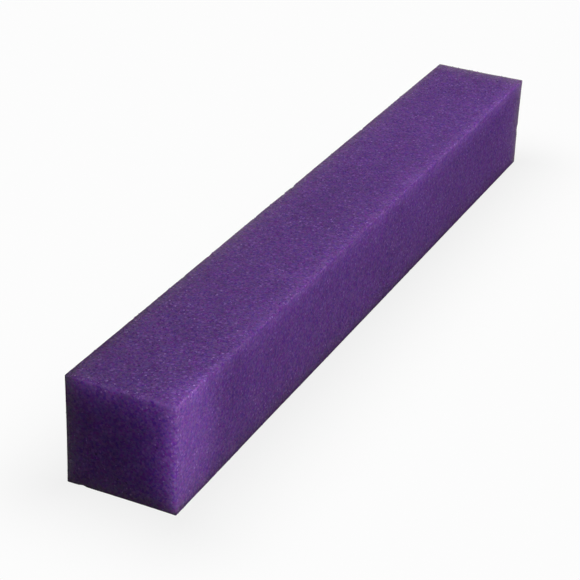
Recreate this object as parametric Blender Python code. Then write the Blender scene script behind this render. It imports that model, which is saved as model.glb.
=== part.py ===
"""Abrasive stick: one solid bar of rubber-bonded abrasive grain, square in section.

The bar lies along Y on one of its four long faces. The origin is the middle of that bottom face, +Z is up,
and the end that faces -Y is the front. Every length is in metres.
"""

import bmesh
import bpy
from mathutils import Matrix

SECTION = 0.01905        # width and height of the square section, 3/4 inch
LENGTH = 0.1524          # 6 inches
EDGE_RADIUS = 0.0004     # eased edges: the bar is soft enough to wear round in the hand
EDGE_SEGMENTS = 3

MATERIAL_NAME = "bonded_abrasive"
PURPLE = (0.125, 0.058, 0.225, 1.0)
ROUGHNESS = 0.75


def clear_scene():
    for obj in list(bpy.data.objects):
        bpy.data.objects.remove(obj, do_unlink=True)


def abrasive_material():
    """Matte purple rubber with the grain mixed all the way through it."""
    material = bpy.data.materials.new(MATERIAL_NAME)
    material.use_nodes = True
    shader = material.node_tree.nodes["Principled BSDF"]
    shader.inputs["Base Color"].default_value = PURPLE
    shader.inputs["Roughness"].default_value = ROUGHNESS
    shader.inputs["Metallic"].default_value = 0.0
    return material


def bar_mesh():
    """A closed box of the bar's full size, centred on X and Y and standing on Z = 0."""
    mesh = bpy.data.meshes.new("abrasive_stick")
    size = Matrix.Diagonal((SECTION, LENGTH, SECTION, 1.0))
    lift = Matrix.Translation((0.0, 0.0, SECTION / 2))
    box = bmesh.new()
    bmesh.ops.create_cube(box, size=1.0, matrix=lift @ size)
    box.to_mesh(mesh)
    box.free()
    return mesh


def ease_edges(bar):
    """Rounds all twelve edges by the same small radius."""
    bevel = bar.modifiers.new("eased_edges", "BEVEL")
    bevel.width = EDGE_RADIUS
    bevel.segments = EDGE_SEGMENTS
    bevel.limit_method = "NONE"


def build_abrasive_stick():
    bar = bpy.data.objects.new("abrasive_stick", bar_mesh())
    bpy.context.scene.collection.objects.link(bar)
    bar.data.materials.append(abrasive_material())
    ease_edges(bar)
    return bar


clear_scene()
build_abrasive_stick()
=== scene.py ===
"""Looks of the abrasive stick: a square bar of purple rubber with abrasive grain mixed through it.

Two pieces stand for the one CAD solid, and both ride on it. `bar_surface` is the bar's skin as a fine
mesh, with worn edges, a slight sink across each long face, pits, and saw marks on the ends. `surface_grains`
are the crystals that stick out of that skin. Every length is in metres.
"""

import math
import random

import bmesh
import bpy
import numpy as np
from mathutils import Matrix, Vector, kdtree, noise


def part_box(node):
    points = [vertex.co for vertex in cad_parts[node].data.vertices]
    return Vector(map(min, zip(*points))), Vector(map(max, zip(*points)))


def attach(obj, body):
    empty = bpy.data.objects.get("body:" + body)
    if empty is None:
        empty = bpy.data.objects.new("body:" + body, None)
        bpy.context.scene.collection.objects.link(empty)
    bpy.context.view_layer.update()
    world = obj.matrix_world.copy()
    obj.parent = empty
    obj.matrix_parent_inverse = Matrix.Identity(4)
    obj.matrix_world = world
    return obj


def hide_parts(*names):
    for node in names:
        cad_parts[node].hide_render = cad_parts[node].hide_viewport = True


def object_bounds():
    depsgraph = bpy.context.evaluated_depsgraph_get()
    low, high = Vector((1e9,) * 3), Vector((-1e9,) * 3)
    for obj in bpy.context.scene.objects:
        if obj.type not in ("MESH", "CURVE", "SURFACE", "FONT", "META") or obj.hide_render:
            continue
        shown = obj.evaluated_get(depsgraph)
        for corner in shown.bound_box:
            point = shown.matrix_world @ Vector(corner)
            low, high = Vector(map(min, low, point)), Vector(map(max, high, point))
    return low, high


MM = 0.001

# The bar's mesh
QUAD = 0.365 * MM              # spacing of the mesh on the flat faces
EDGE_RADIUS = 0.20 * MM
EDGE_STEPS = 2                 # mesh steps from a flat face to the middle of an edge

# Relief, as heights along the surface's normal
SINK = 0.07 * MM               # how far the middle of a face lies below its borders
WAVE_HEIGHT, WAVE_SIZE = 0.04 * MM, 22 * MM
LUMP_HEIGHT, LUMP_SIZE = 0.014 * MM, 2.4 * MM
GRIT_HEIGHT, GRIT_SIZE = 0.012 * MM, 0.80 * MM
CRUMBLE_DEPTH, CRUMBLE_SIZE = 0.03 * MM, 1.0 * MM
CRUMBLE_LEAST = 0.35           # of the full depth, on the least worn stretches of an edge
WORN_STRETCH = 9 * MM          # size of the more and less worn stretches along an edge
WEAR_AND_GLOW_REACH = 0.45 * MM         # how far from an edge's middle its wear and its painted glow reach
LONG_EDGE_DUST_AND_GLOW = 0.1           # dust and painted edge glow along the other edges, against 1 along the sawn ones
UNUSED_FACE_SCUFF_AND_GLINT = 0.6        # how much of the grain shows on the faces other than the top; the top's extra is partly scuffing and partly painted glints
SAW_DEPTH, SAW_PITCH = 0.010 * MM, 1.1 * MM
SAW_CURVE = 0.12               # how far a mark bends by the side of the bar, in pitches
SAW_WOBBLE = 0.35              # how far a mark strays, in pitches
SAW_WOBBLE_SIZE = 4 * MM
PIT_COUNT = 120
PIT_RADIUS = (0.4 * MM, 0.9 * MM)
PIT_DEPTH = (0.05 * MM, 0.14 * MM)
NICK_COUNT = 6
NICK_RADIUS = (0.4 * MM, 0.8 * MM)
NICK_DEPTH = (0.02 * MM, 0.05 * MM)

# The crystals that stand out of the skin
GRAIN_COUNT = 17000
GRAIN_SHAPES = 16
GRAIN_POINTS = 7               # corners of a crystal
GRAIN_SIZE = (0.22 * MM, 0.50 * MM)
GRAIN_STANDS_OUT = (0.03 * MM, 0.12 * MM)
GRAIN_HALF_HEIGHT = 0.33       # of a typical crystal, as a share of its size
DARK_GRAIN_SIZE = 0.85         # of the darkest crystals, against the sizes above
PALE_GRAIN_GROWTH = 0.4        # how much more the palest ones get
DRIFT_SIZE = 6 * MM            # of the drifts that pale crystals crowd in
PALER_IN_DRIFTS = 0.25
# crystals paler along the edges: partly wear, partly painted edge glow
PALER_ALONG_EDGE_WEAR_AND_GLOW = 0.15
GRAIN_BELOW_BAR = 0.01 * MM    # how far the crystals on the underside may reach below it
GRAINS_ON_SIDES = 0.5          # how thickly they lie on the sides, against 1 on the top
GRAINS_ON_ENDS = 0.12
GRAIN_EDGE_CROWDING = 2.0      # how many times more of them there are along a worn edge

# The camera: where it looks, from which side, and through which lens
CAMERA_AIM = Vector((0.4 * MM, -18.8 * MM, 9.5 * MM))
CAMERA_AZIMUTH = math.radians(24.66)
CAMERA_ELEVATION = math.radians(27.72)
CAMERA_ROLL = math.radians(2.28)
CAMERA_DISTANCE = 308.5 * MM
CAMERA_LENS = 109.5

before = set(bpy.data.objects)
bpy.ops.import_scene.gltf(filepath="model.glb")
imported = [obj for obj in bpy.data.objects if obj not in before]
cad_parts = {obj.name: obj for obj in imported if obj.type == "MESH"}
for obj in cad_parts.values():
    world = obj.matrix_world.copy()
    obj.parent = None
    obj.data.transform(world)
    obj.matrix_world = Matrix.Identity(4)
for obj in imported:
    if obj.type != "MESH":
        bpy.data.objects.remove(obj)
cad_low, cad_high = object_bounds()
bar_low, bar_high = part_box("abrasive_stick")
rng = random.Random(7)


# ---------------------------------------------------------------- the bar's mesh

def stations(low, high):
    """Coordinates of the mesh lines between two faces: even on the flat, closer round each eased edge."""
    turn = [math.tan(math.pi / 4 * k / EDGE_STEPS) * EDGE_RADIUS for k in range(1, EDGE_STEPS + 1)]
    start, end = low + EDGE_RADIUS, high - EDGE_RADIUS
    count = round((end - start) / QUAD)
    flat = [start + (end - start) * i / count for i in range(count + 1)]
    return [start - t for t in reversed(turn)] + flat + [end + t for t in turn]


def lattice_quads(counts):
    """Quads of lattice keys over the six sides of a block of counts cells, each facing out."""
    for axis in range(3):
        across, along = (axis + 1) % 3, (axis + 2) % 3
        for side in (0, counts[axis]):
            for a in range(counts[across]):
                for b in range(counts[along]):
                    ring = [(a, b), (a + 1, b), (a + 1, b + 1), (a, b + 1)]
                    if side == 0:
                        ring.reverse()
                    quad = []
                    for u, v in ring:
                        key = [0, 0, 0]
                        key[axis], key[across], key[along] = side, u, v
                        quad.append(tuple(key))
                    yield quad


def block_points_and_quads(low, high):
    """The points and quads of a box whose surface is a fine lattice."""
    lines = [stations(low[axis], high[axis]) for axis in range(3)]
    index, points, quads = {}, [], []
    for quad in lattice_quads([len(line) - 1 for line in lines]):
        corners = []
        for key in quad:
            if key not in index:
                index[key] = len(points)
                points.append([lines[axis][key[axis]] for axis in range(3)])
            corners.append(index[key])
        quads.append(corners)
    return np.array(points), quads


def eased(points, low, high):
    """Pulls a box's points onto a box with round edges. Returns the points and their outward normals."""
    core = np.clip(points, np.array(low) + EDGE_RADIUS, np.array(high) - EDGE_RADIUS)
    out = points - core
    normals = out / np.linalg.norm(out, axis=1, keepdims=True)
    return core + normals * EDGE_RADIUS, normals


def noise_field(points, size, seed):
    """Smooth noise from -1 to 1 at each point, with bumps about size across."""
    shift = Vector((seed * 3.7, seed * 5.3, seed * 7.9))
    return np.array([noise.noise(Vector(p) / size + shift) for p in points])


def edge_nearness(points, low, high):
    """1 at the middle of an edge, falling to 0 on the flat faces."""
    to_wall = np.minimum(points - np.array(low), np.array(high) - points)
    second = np.sort(to_wall, axis=1)[:, 1]
    return np.exp(-((second / WEAR_AND_GLOW_REACH) ** 2))


def edge_dust_and_glow(points, low, high):
    """How thickly pale dust and painted edge glow lie: most along the sawn top and bottom edges of the two
    ends.
    """
    to_wall = np.minimum(points - np.array(low), np.array(high) - points)
    sawn = np.exp(-((to_wall[:, 1] / WEAR_AND_GLOW_REACH) ** 2) - (to_wall[:, 2] / WEAR_AND_GLOW_REACH) ** 2)
    return edge_nearness(points, low, high) * (LONG_EDGE_DUST_AND_GLOW + (1 - LONG_EDGE_DUST_AND_GLOW) * sawn)


def face_sink(points, normals, low, high):
    """A shallow hollow across each long face, deepest along its middle line."""
    centre, half = (np.array(low) + np.array(high)) / 2, (np.array(high) - np.array(low)) / 2
    place = (points - centre) / half
    across_x = np.abs(normals[:, 2]) * (1 - place[:, 0] ** 2)
    across_z = np.abs(normals[:, 0]) * (1 - place[:, 2] ** 2)
    return -SINK * (across_x + across_z)


def saw_marks(points, normals):
    """Fine curved scores left on the two ends where the bar was cut to length."""
    curve = SAW_CURVE * (points[:, 0] / (10 * MM)) ** 2
    wobble = SAW_WOBBLE * noise_field(points, SAW_WOBBLE_SIZE, 11)
    ripple = np.sin(2 * math.pi * (points[:, 2] / SAW_PITCH + curve + wobble))
    return -SAW_DEPTH * np.abs(normals[:, 1]) * np.clip(ripple, 0, 1)


def dents(points, count, near, radii, depths):
    """Round hollows at random points, chosen in proportion to near."""
    tree = kdtree.KDTree(len(points))
    for i, p in enumerate(points):
        tree.insert(p, i)
    tree.balance()
    depth = np.zeros(len(points))
    chances = np.cumsum(near)
    for _ in range(count):
        centre = points[int(np.searchsorted(chances, rng.random() * chances[-1]))]
        radius = rng.uniform(*radii)
        deepest = rng.uniform(*depths)
        for _, i, distance in tree.find_range(centre, radius):
            depth[i] = min(depth[i], -deepest * (1 - (distance / radius) ** 2))
    return depth


def relief(points, normals, low, high):
    """Height of the real surface over the ideal one at each point. The underside, which it lies on, has only
    hollows."""
    near_edge = edge_nearness(points, low, high)
    ragged = 0.5 + 0.5 * noise_field(points, CRUMBLE_SIZE, 1)
    worn = 0.5 + 0.5 * noise_field(points, WORN_STRETCH, 2)
    height = face_sink(points, normals, low, high)
    height += WAVE_HEIGHT * noise_field(points, WAVE_SIZE, 3)
    height += LUMP_HEIGHT * noise_field(points, LUMP_SIZE, 4)
    height += GRIT_HEIGHT * noise_field(points, GRIT_SIZE, 5)
    height -= CRUMBLE_DEPTH * near_edge * (CRUMBLE_LEAST + (1 - CRUMBLE_LEAST) * worn) * ragged
    height += saw_marks(points, normals)
    height += dents(points, PIT_COUNT, np.ones(len(points)), PIT_RADIUS, PIT_DEPTH)
    height += dents(points, NICK_COUNT, near_edge ** 4, NICK_RADIUS, NICK_DEPTH)
    underside = normals[:, 2] < -0.5
    return np.where(underside, np.minimum(height, 0), height)


def scuff_and_glint(normals):
    """How much of the grain shows: all of it on the top, and less elsewhere. The top's extra is partly
    scuffing, as it is used most, and partly painted glints.
    """
    return UNUSED_FACE_SCUFF_AND_GLINT + (1 - UNUSED_FACE_SCUFF_AND_GLINT) * np.clip(normals[:, 2], 0, 1)


def set_attribute(mesh, name, values):
    """Stores a number for each point, for a material to read."""
    attribute = mesh.attributes.new(name, "FLOAT", "POINT")
    attribute.data.foreach_set("value", np.asarray(values, dtype=np.float32))


def make_bar():
    """The bar's skin, with what its material needs to know at each point."""
    points, quads = block_points_and_quads(bar_low, bar_high)
    points, normals = eased(points, bar_low, bar_high)
    worn = points + normals * relief(points, normals, bar_low, bar_high)[:, None]
    mesh = bpy.data.meshes.new("bar_surface")
    mesh.from_pydata(worn.tolist(), [], quads)
    set_attribute(mesh, "edge", edge_nearness(points, bar_low, bar_high))
    # pale dust and painted edge glow along the edges
    set_attribute(mesh, "edge_wear_and_glow", edge_dust_and_glow(points, bar_low, bar_high))
    # more grain showing on the top: partly scuffing, partly painted glints
    set_attribute(mesh, "scuff_and_glint", scuff_and_glint(normals))
    mesh.shade_smooth()
    bar = bpy.data.objects.new("bar_surface", mesh)
    bpy.context.scene.collection.objects.link(bar)
    return bar


# ---------------------------------------------------------------- the grains

def grain_shape():
    """One crystal about 1 across: the hull of a few points scattered over a squashed ball."""
    crystal = bmesh.new()
    squash = (1.0, rng.uniform(0.7, 1.0), rng.uniform(0.55, 0.9))
    for _ in range(GRAIN_POINTS):
        direction = Vector([rng.gauss(0, 1) for _ in range(3)]).normalized()
        crystal.verts.new([0.5 * d * s for d, s in zip(direction, squash)])
    hull = bmesh.ops.convex_hull(crystal, input=crystal.verts)
    inside = [v for v in hull["geom_interior"] if isinstance(v, bmesh.types.BMVert)]
    bmesh.ops.delete(crystal, geom=inside, context="VERTS")
    bmesh.ops.triangulate(crystal, faces=crystal.faces)
    bmesh.ops.recalc_face_normals(crystal, faces=crystal.faces)
    crystal.verts.index_update()
    points = [v.co.copy() for v in crystal.verts]
    faces = [[v.index for v in face.verts] for face in crystal.faces]
    crystal.free()
    return points, faces


def grain_share(normal):
    """How thickly grains lie on a face: most on the top, which is used, and fewest on the sawn ends."""
    more_on_top = (1 - GRAINS_ON_SIDES) * max(normal.z, 0)
    fewer_on_ends = (GRAINS_ON_SIDES - GRAINS_ON_ENDS) * abs(normal.y)
    return GRAINS_ON_SIDES + more_on_top - fewer_on_ends


def grain_places(bar):
    """Points, normals and edge wear, with its painted edge glow, scattered over the bar's skin."""
    vertices, polygons = bar.data.vertices, bar.data.polygons
    wear_and_glow = [value.value for value in bar.data.attributes["edge_wear_and_glow"].data]
    crowding = [1 + GRAIN_EDGE_CROWDING * wear_and_glow[p.vertices[0]] for p in polygons]
    chances = np.cumsum([p.area * grain_share(p.normal) * crowd
                         for p, crowd in zip(polygons, crowding)])
    for _ in range(GRAIN_COUNT):
        polygon = polygons[int(np.searchsorted(chances, rng.random() * chances[-1]))]
        a, b, _, d = [vertices[i].co for i in polygon.vertices]
        yield a + (b - a) * rng.random() + (d - a) * rng.random(), polygon.normal, wear_and_glow[polygon.vertices[0]]


def grain_tint(place, wear_and_glow):
    """How pale a crystal is, from 0 to 1. Pale ones crowd together in drifts and along the edges, partly as
    wear and partly as painted edge glow.
    """
    drift = noise.noise(place / DRIFT_SIZE)
    paleness = rng.random() + PALER_IN_DRIFTS * drift + PALER_ALONG_EDGE_WEAR_AND_GLOW * wear_and_glow
    return min(1.0, max(0.0, paleness))


def grain_size(tint):
    """Mostly small, a few large, and pale crystals larger than dark ones."""
    smallest, largest = GRAIN_SIZE
    size = smallest + (largest - smallest) * rng.random() ** 2
    return size * (DARK_GRAIN_SIZE + PALE_GRAIN_GROWTH * tint)


def above_floor(point):
    """Grains on the underside are pressed level with it."""
    return Vector((point.x, point.y, max(point.z, cad_low.z - GRAIN_BELOW_BAR)))


def make_grains(bar):
    """All the crystals as one mesh: each is one of a few shapes, turned at random and sunk into the skin."""
    shapes = [grain_shape() for _ in range(GRAIN_SHAPES)]
    points, faces, tints = [], [], []
    for place, normal, wear_and_glow in grain_places(bar):
        shape, triangles = rng.choice(shapes)
        tint = grain_tint(place, wear_and_glow)
        size = grain_size(tint)
        turn = Vector([rng.gauss(0, 1) for _ in range(3)]).to_track_quat("Z", "Y").to_matrix()
        stands_out = rng.uniform(*GRAIN_STANDS_OUT) * grain_share(normal)
        centre = place + normal * (stands_out - GRAIN_HALF_HEIGHT * size)
        start = len(points)
        points += [above_floor(centre + turn @ p * size) for p in shape]
        faces += [[start + i for i in triangle] for triangle in triangles]
        tints += [tint] * len(shape)
    mesh = bpy.data.meshes.new("surface_grains")
    mesh.from_pydata([tuple(p) for p in points], [], faces)
    set_attribute(mesh, "tint", tints)
    grains = bpy.data.objects.new("surface_grains", mesh)
    bpy.context.scene.collection.objects.link(grains)
    return grains


# ---------------------------------------------------------------- materials

class Nodes:
    """Short names for adding and joining shader nodes."""

    def __init__(self, name):
        self.material = bpy.data.materials.new(name)
        self.material.use_nodes = True
        self.tree = self.material.node_tree
        self.shader = self.tree.nodes["Principled BSDF"]
        self.place = self.add("ShaderNodeTexCoord").outputs["Object"]

    def add(self, kind, **settings):
        node = self.tree.nodes.new(kind)
        for name, value in settings.items():
            setattr(node, name, value)
        return node

    def join(self, output, socket):
        self.tree.links.new(output, socket)

    def shifted(self, shift):
        node = self.add("ShaderNodeVectorMath", operation="ADD")
        self.join(self.place, node.inputs[0])
        node.inputs[1].default_value = shift
        return node.outputs[0]

    def noise(self, size, detail=2.0, shift=(0, 0, 0)):
        """Noise from 0 to 1 with spots about size across."""
        node = self.add("ShaderNodeTexNoise")
        self.join(self.shifted(shift), node.inputs["Vector"])
        node.inputs["Scale"].default_value = 1 / size
        node.inputs["Detail"].default_value = detail
        return node.outputs["Fac"]

    def cells(self, size, shift=(0, 0, 0)):
        """Random cells about size across: the distance to a cell's centre, and a random colour for each."""
        node = self.add("ShaderNodeTexVoronoi")
        self.join(self.shifted(shift), node.inputs["Vector"])
        node.inputs["Scale"].default_value = 1 / size
        return node.outputs["Distance"], node.outputs["Color"]

    def math(self, operation, a, b):
        node = self.add("ShaderNodeMath", operation=operation)
        for socket, value in zip(node.inputs, (a, b)):
            if isinstance(value, (int, float)):
                socket.default_value = value
            else:
                self.join(value, socket)
        return node.outputs[0]

    def spread(self, value, low_in, high_in, low_out, high_out, smooth=False):
        """Maps one range to another and clamps to it."""
        node = self.add("ShaderNodeMapRange")
        if smooth:
            node.interpolation_type = "SMOOTHSTEP"
        self.join(value, node.inputs["Value"])
        for name, number in zip(("From Min", "From Max", "To Min", "To Max"),
                                (low_in, high_in, low_out, high_out)):
            node.inputs[name].default_value = number
        return node.outputs["Result"]

    def mix(self, share, a, b, blend="MIX"):
        node = self.add("ShaderNodeMix", data_type="RGBA", blend_type=blend)
        for socket, value in ((node.inputs["Factor"], share), (node.inputs["A"], a), (node.inputs["B"], b)):
            if isinstance(value, (int, float, tuple)):
                socket.default_value = value
            else:
                self.join(value, socket)
        return node.outputs["Result"]

    def channel(self, colour, name):
        node = self.add("ShaderNodeSeparateColor")
        self.join(colour, node.inputs["Color"])
        return node.outputs[name]

    def attribute(self, name):
        return self.add("ShaderNodeAttribute", attribute_name=name).outputs["Fac"]

    def product(self, *values):
        result = values[0]
        for value in values[1:]:
            result = self.math("MULTIPLY", result, value)
        return result

    def grey(self, value):
        """A colour with all three channels the same."""
        node = self.add("ShaderNodeCombineColor")
        for name in ("Red", "Green", "Blue"):
            self.join(value, node.inputs[name])
        return node.outputs["Color"]

    def hue(self, colour, hue, saturation):
        node = self.add("ShaderNodeHueSaturation")
        self.join(colour, node.inputs["Color"])
        self.join(hue, node.inputs["Hue"])
        self.join(saturation, node.inputs["Saturation"])
        return node.outputs["Color"]

    def spots(self, size, share, reach, shift, crowding=None):
        """1 inside scattered spots, 0 between. share of the cells hold a spot, which reaches that far
        from its cell's centre."""
        distance, colour = self.cells(size, shift)
        chance = self.channel(colour, "Red")
        if crowding is not None:
            chance = self.math("ADD", chance, crowding)
        chosen = self.math("GREATER_THAN", chance, 1 - share)
        return self.product(chosen, self.spread(distance, 0.5 * reach, reach, 1, 0, smooth=True))

    def bump(self, height, depth):
        node = self.add("ShaderNodeBump")
        node.inputs["Distance"].default_value = depth
        self.join(height, node.inputs["Height"])
        self.join(node.outputs["Normal"], self.shader.inputs["Normal"])


RUBBER = (0.116, 0.0425, 0.230, 1.0)
GRAIN_SPECK = (0.225, 0.105, 0.390, 1.0)
BARE_SPECK = (0.29, 0.165, 0.45, 1.0)
DARK_SPECK = (0.030, 0.011, 0.062, 1.0)
# pale dust, and painted edge glow, laid along the edges
DUST_AND_GLOW = (0.21, 0.10, 0.37, 1.0)
# how pale a crystal is, and its colour there
CRYSTAL_TONES = [
    (0.00, (0.050, 0.020, 0.100, 1.0)),
    (0.06, (0.080, 0.030, 0.160, 1.0)),
    (0.45, (0.140, 0.055, 0.265, 1.0)),
    (0.80, (0.215, 0.098, 0.370, 1.0)),
    (1.00, (0.280, 0.150, 0.440, 1.0)),
]
BARE_ROUGHNESS = (0.42, 0.42, 0.42, 1.0)
SUBSURFACE_SCALE = 32 * MM     # the light spreads about a tenth of this far
SKIN_BUMP = 0.009 * MM
NOISE_RANGE = (0.3, 0.7)       # where most values of a noise lie

# The sizes of what varies in the rubber, and shifts that keep one pattern from lining up with another
CLOUD_SIZE = 13 * MM
MOTTLE_SIZE, MOTTLE_SHIFT = 2.4 * MM, (0.3, 0.1, 0.2)
COARSE_SIZE = 0.38 * MM
POWDER_SIZE, POWDER_SHIFT = 0.21 * MM, (0.2, 0.5, 0.1)
CAST_SIZE, CAST_SHIFT = 0.34 * MM, (0.6, 0.2, 0.8)
SPOT_DRIFT_SIZE, SPOT_DRIFT_SHIFT = 7 * MM, (0.7, 0.4, 0.9)
DUST_AND_GLOW_SIZE, DUST_AND_GLOW_SHIFT = 0.7 * MM, (0.5, 0.5, 0.1)
SKIN_SIZE = 0.30 * MM

FILM_SIZE = 0.12 * MM          # of the patches of rubber film on a crystal
POLISH_SIZE = 0.3 * MM         # of its smoother and rougher patches

# Spots in the rubber: size of a cell, share of cells that hold a spot, its reach in the cell, and a shift
GRAIN_SPOTS = (0.80 * MM, 0.30, 0.40, (0.1, 0.9, 0.4))
BARE_SPOTS = (0.70 * MM, 0.03, 0.30, (0.4, 0.6, 0.2))
DARK_SPOTS = (0.75 * MM, 0.04, 0.32, (0.8, 0.3, 0.6))


def rubber_tone(n, scuff_and_glint_share):
    """How light or dark the rubber is: broad clouds, a mottle, and the grain mixed through it, which shows
    less away from the top; the top's extra grain is partly scuffing and partly painted glints."""
    cloud = n.spread(n.noise(CLOUD_SIZE, 2.0), *NOISE_RANGE, 0.93, 1.07)
    mottle = n.spread(n.noise(MOTTLE_SIZE, 3.0, MOTTLE_SHIFT), *NOISE_RANGE, 0.90, 1.10)
    _, coarse = n.cells(COARSE_SIZE)
    _, fine = n.cells(POWDER_SIZE, POWDER_SHIFT)
    grain = n.spread(n.channel(coarse, "Red"), 0, 1, 0.86, 1.14)
    powder = n.spread(n.channel(fine, "Red"), 0, 1, 0.82, 1.18)
    return n.product(cloud, mottle, n.math("POWER", n.product(grain, powder), scuff_and_glint_share))


def rubber_material():
    """Purple rubber that light soaks into, with pale, bare and dark grains, more of them on the top as
    scuffing and painted glints, and pale dust and painted edge glow on its edges, most on the sawn ones.
    """
    n = Nodes("bonded_abrasive_skin")
    wear_and_glow = n.attribute("edge_wear_and_glow")
    # stronger grain and more pale and bare specks on the top: partly scuffing, partly painted glints
    scuff_and_glint_share = n.attribute("scuff_and_glint")
    drift = n.spread(n.noise(SPOT_DRIFT_SIZE, 2.0, SPOT_DRIFT_SHIFT), *NOISE_RANGE, -0.16, 0.16)
    colour = n.mix(1.0, RUBBER, n.grey(rubber_tone(n, scuff_and_glint_share)), "MULTIPLY")
    _, cast = n.cells(CAST_SIZE, CAST_SHIFT)
    hue = n.spread(n.channel(cast, "Green"), 0, 1, 0.475, 0.525)
    saturation = n.spread(n.channel(cast, "Blue"), 0, 1, 0.87, 1.13)
    colour = n.hue(colour, hue, saturation)
    grains = n.spots(*GRAIN_SPOTS, drift)
    bare = n.spots(*BARE_SPOTS, drift)
    dark = n.spots(*DARK_SPOTS)
    colour = n.mix(n.product(grains, scuff_and_glint_share, 0.7), colour, GRAIN_SPECK)
    colour = n.mix(n.product(bare, scuff_and_glint_share), colour, BARE_SPECK)
    colour = n.mix(n.product(dark, 0.8), colour, DARK_SPECK)
    # pale dust and painted edge glow along the edges, most along the sawn ones
    dust_and_glow = n.product(wear_and_glow, n.spread(n.noise(DUST_AND_GLOW_SIZE, 3.0, DUST_AND_GLOW_SHIFT), 0.40, 0.62, 0.0, 0.40))
    colour = n.mix(dust_and_glow, colour, DUST_AND_GLOW)
    n.join(colour, n.shader.inputs["Base Color"])

    distance, fine = n.cells(POWDER_SIZE, POWDER_SHIFT)
    rough = n.spread(n.channel(fine, "Green"), 0, 1, 0.55, 0.85)
    n.join(n.mix(bare, n.grey(rough), BARE_ROUGHNESS), n.shader.inputs["Roughness"])
    n.bump(n.math("SUBTRACT", n.noise(SKIN_SIZE, 3.0), n.product(distance, 0.6)), SKIN_BUMP)
    n.join(n.spread(n.attribute("edge"), 0, 1, 0.28, 0.08), n.shader.inputs["Specular IOR Level"])
    n.shader.inputs["Subsurface Weight"].default_value = 1.0
    n.shader.inputs["Subsurface Radius"].default_value = (1.0, 1.0, 1.0)
    n.shader.inputs["Subsurface Scale"].default_value = SUBSURFACE_SCALE
    return n.material


def grain_material():
    """Abrasive crystals: most are bound in purple, some are bare and pale, and a few are dark."""
    n = Nodes("abrasive_crystal")
    tint = n.attribute("tint")
    ramp = n.add("ShaderNodeValToRGB")
    n.join(tint, ramp.inputs["Fac"])
    stops = ramp.color_ramp.elements
    stops.remove(stops[1])
    stops[0].position, stops[0].color = CRYSTAL_TONES[0]
    for position, colour in CRYSTAL_TONES[1:]:
        stops.new(position).color = colour
    film = n.spread(n.noise(FILM_SIZE, 2.0), *NOISE_RANGE, 0.80, 1.20)
    n.join(n.mix(1.0, ramp.outputs["Color"], n.grey(film), "MULTIPLY"), n.shader.inputs["Base Color"])
    n.join(n.spread(n.noise(POLISH_SIZE), *NOISE_RANGE, 0.45, 0.75), n.shader.inputs["Roughness"])
    n.shader.inputs["Specular IOR Level"].default_value = 0.35
    return n.material


# ---------------------------------------------------------------- stage, lights and camera

STAGE_GLOW = 0.975
CONTACT_SHADE = 0.12           # how much darker the floor is right beside the bar
SHADE_REACH = 26 * MM
FLOOR_RADIUS = 3.0
DOME_RADIUS = 3.2
FLOOR_GAP = 0.02 * MM          # how far the floor is below the bar, just past its lowest crystals

MIDDLE = (0, 0, 9.5 * MM)
BACK_HALF = (0, 30 * MM, 9.5 * MM)
BACK_END = (0, 76 * MM, 9.5 * MM)
FRONT_OF_RIGHT_FACE = (9.5 * MM, -94 * MM, 9 * MM)
BACK_OF_LEFT_FACE = (-9.5 * MM, 20 * MM, 9.5 * MM)

# name, what it aims at, direction from there, distance, width, mirrored, brightness
BOXES = [
    ("key_high", MIDDLE, (0.45, 0.10, 0.90), 0.60, 0.30, True, 0.06),
    ("top_back", BACK_HALF, (0.05, 0.15, 0.99), 0.40, 0.20, True, 0.635),
    ("right", MIDDLE, (1.00, 0.10, 0.35), 0.60, 0.30, True, 0.385),
    ("front_right", MIDDLE, (0.85, -0.50, 0.15), 0.60, 0.30, True, 0.25),
    ("front", MIDDLE, (0.25, -1.00, 0.35), 0.60, 0.30, False, 0.048),
    ("back_left", BACK_END, (-0.50, 0.85, 0.30), 0.20, 0.12, False, 0.07),
    ("left", MIDDLE, (-1.00, 0.10, 0.20), 0.60, 0.30, False, 0.014),
    ("table_glow", MIDDLE, (0.35, -0.35, -0.87), 0.60, 0.30, False, 0.018),
]
SKY = 0.02

# name, what it aims at, direction from there, distance, radius lit there, softness of its rim, brightness
BEAMS = [
    ("kick", FRONT_OF_RIGHT_FACE, (1.00, 0.00, 0.05), 0.20, 32 * MM, 0.25, 0.495),
    ("back_beam", BACK_OF_LEFT_FACE, (-1.00, 0.35, -0.04), 0.35, 75 * MM, 0.80, 0.09),
]


def glowing_material(name):
    """Pale because it glows, so no light makes a pool on it."""
    material = bpy.data.materials.new(name)
    material.use_nodes = True
    shader = material.node_tree.nodes["Principled BSDF"]
    shader.inputs["Base Color"].default_value = (0, 0, 0, 1)
    shader.inputs["Roughness"].default_value = 1.0
    shader.inputs["Specular IOR Level"].default_value = 0.0
    shader.inputs["Emission Color"].default_value = (1, 1, 1, 1)
    shader.inputs["Emission Strength"].default_value = STAGE_GLOW
    return material


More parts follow.
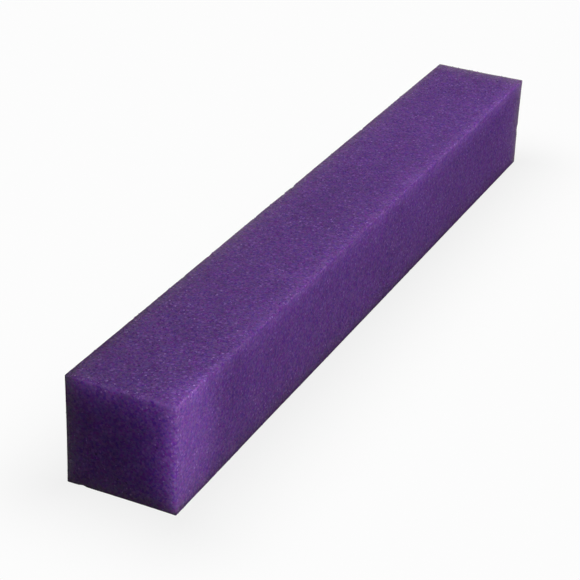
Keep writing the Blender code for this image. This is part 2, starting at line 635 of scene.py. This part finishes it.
def floor_material():
    """Pale, with a soft shade round the bar that stands for its shadow. The shade's strength follows the
    distance from the bar's footprint: the length of max(abs(point) - half its size, 0)."""
    material = glowing_material("pale_floor")
    tree = material.node_tree
    half = (cad_high.x, cad_high.y, 0)
    point = tree.nodes.new("ShaderNodeTexCoord").outputs["Object"]
    for operation, second in (("ABSOLUTE", None), ("SUBTRACT", half), ("MAXIMUM", (0, 0, 0))):
        step = tree.nodes.new("ShaderNodeVectorMath")
        step.operation = operation
        tree.links.new(point, step.inputs[0])
        if second is not None:
            step.inputs[1].default_value = second
        point = step.outputs[0]
    distance = tree.nodes.new("ShaderNodeVectorMath")
    distance.operation = "LENGTH"
    tree.links.new(point, distance.inputs[0])
    shade = tree.nodes.new("ShaderNodeMapRange")
    shade.interpolation_type = "SMOOTHERSTEP"
    shade.inputs["From Min"].default_value = -SHADE_REACH
    shade.inputs["From Max"].default_value = SHADE_REACH
    shade.inputs["To Min"].default_value = STAGE_GLOW * (1 - 2 * CONTACT_SHADE)
    shade.inputs["To Max"].default_value = STAGE_GLOW
    tree.links.new(distance.outputs["Value"], shade.inputs["Value"])
    tree.links.new(shade.outputs["Result"], tree.nodes["Principled BSDF"].inputs["Emission Strength"])
    return material


def camera_only(obj):
    """The stage shows, but throws no light on the bar and keeps none off it."""
    obj.visible_diffuse = False
    obj.visible_glossy = False
    obj.visible_transmission = False
    obj.visible_volume_scatter = False
    obj.visible_shadow = False


def make_floor():
    bpy.ops.mesh.primitive_circle_add(vertices=128, radius=FLOOR_RADIUS, fill_type="NGON")
    floor = bpy.context.object
    floor.name = "floor"
    floor.location.z = cad_low.z - FLOOR_GAP
    floor.data.materials.append(floor_material())
    camera_only(floor)


def make_dome():
    bpy.ops.mesh.primitive_uv_sphere_add(segments=64, ring_count=32, radius=DOME_RADIUS)
    dome = bpy.context.object
    dome.name = "backdrop"
    dome.data.flip_normals()
    dome.data.materials.append(glowing_material("pale_backdrop"))
    camera_only(dome)


def softbox(name, aim, direction, distance, width, mirrored, brightness):
    """A square area light. brightness is how bright it would make a white surface that faces it, and
    mirrored is whether its reflection shows."""
    lamp = bpy.data.lights.new(name, "AREA")
    lamp.shape = "SQUARE"
    lamp.size = width
    lamp.energy = brightness * math.pi ** 2 * distance ** 2
    box = bpy.data.objects.new(name, lamp)
    bpy.context.scene.collection.objects.link(box)
    toward = Vector(direction).normalized()
    box.location = Vector(aim) + toward * distance
    box.rotation_euler = toward.to_track_quat("Z", "Y").to_euler()
    box.visible_camera = False
    box.visible_glossy = mirrored


def sky(brightness):
    """An even dim light from above that fades out just under the horizon."""
    world = bpy.data.worlds.new("studio")
    bpy.context.scene.world = world
    world.use_nodes = True
    tree = world.node_tree
    background = tree.nodes["Background"]
    place = tree.nodes.new("ShaderNodeTexCoord").outputs["Generated"]
    split = tree.nodes.new("ShaderNodeSeparateXYZ")
    ramp = tree.nodes.new("ShaderNodeMapRange")
    tree.links.new(place, split.inputs[0])
    tree.links.new(split.outputs["Z"], ramp.inputs["Value"])
    ramp.inputs["From Min"].default_value = -0.05
    ramp.inputs["From Max"].default_value = 0.15
    ramp.inputs["To Min"].default_value = 0.0
    ramp.inputs["To Max"].default_value = brightness
    tree.links.new(ramp.outputs["Result"], background.inputs["Strength"])


def beam(name, aim, direction, distance, radius, blend, brightness):
    """A cone of light that falls on one part of the bar."""
    lamp = bpy.data.lights.new(name, "SPOT")
    lamp.spot_size = 2 * math.atan(radius / distance)
    lamp.spot_blend = blend
    lamp.shadow_soft_size = 4 * MM
    lamp.energy = brightness * 4 * math.pi ** 2 * distance ** 2
    spot = bpy.data.objects.new(name, lamp)
    bpy.context.scene.collection.objects.link(spot)
    toward = Vector(direction).normalized()
    spot.location = Vector(aim) + toward * distance
    spot.rotation_euler = toward.to_track_quat("Z", "Y").to_euler()


def make_lights():
    for box in BOXES:
        softbox(*box)
    for cone in BEAMS:
        beam(*cone)
    sky(SKY)


def make_camera():
    """Looks down at the bar from in front of its front end and a little to the right."""
    camera = bpy.data.objects.new("camera", bpy.data.cameras.new("camera"))
    bpy.context.scene.collection.objects.link(camera)
    bpy.context.scene.camera = camera
    camera.data.lens = CAMERA_LENS
    back = Vector((math.sin(CAMERA_AZIMUTH) * math.cos(CAMERA_ELEVATION),
                   -math.cos(CAMERA_AZIMUTH) * math.cos(CAMERA_ELEVATION),
                   math.sin(CAMERA_ELEVATION)))
    level = back.to_track_quat("Z", "Y").to_matrix()
    turn = level @ Matrix.Rotation(CAMERA_ROLL, 3, "Z")
    camera.matrix_world = Matrix.Translation(CAMERA_AIM + back * CAMERA_DISTANCE) @ turn.to_4x4()
    camera.data.clip_start = 0.01


make_camera()
bar = make_bar()
bar.data.materials.append(rubber_material())
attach(bar, "root")
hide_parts("abrasive_stick")

grains = make_grains(bar)
grains.data.materials.append(grain_material())
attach(grains, "root")

make_floor()
make_dome()
make_lights()
bpy.context.scene.view_settings.view_transform = "Standard"
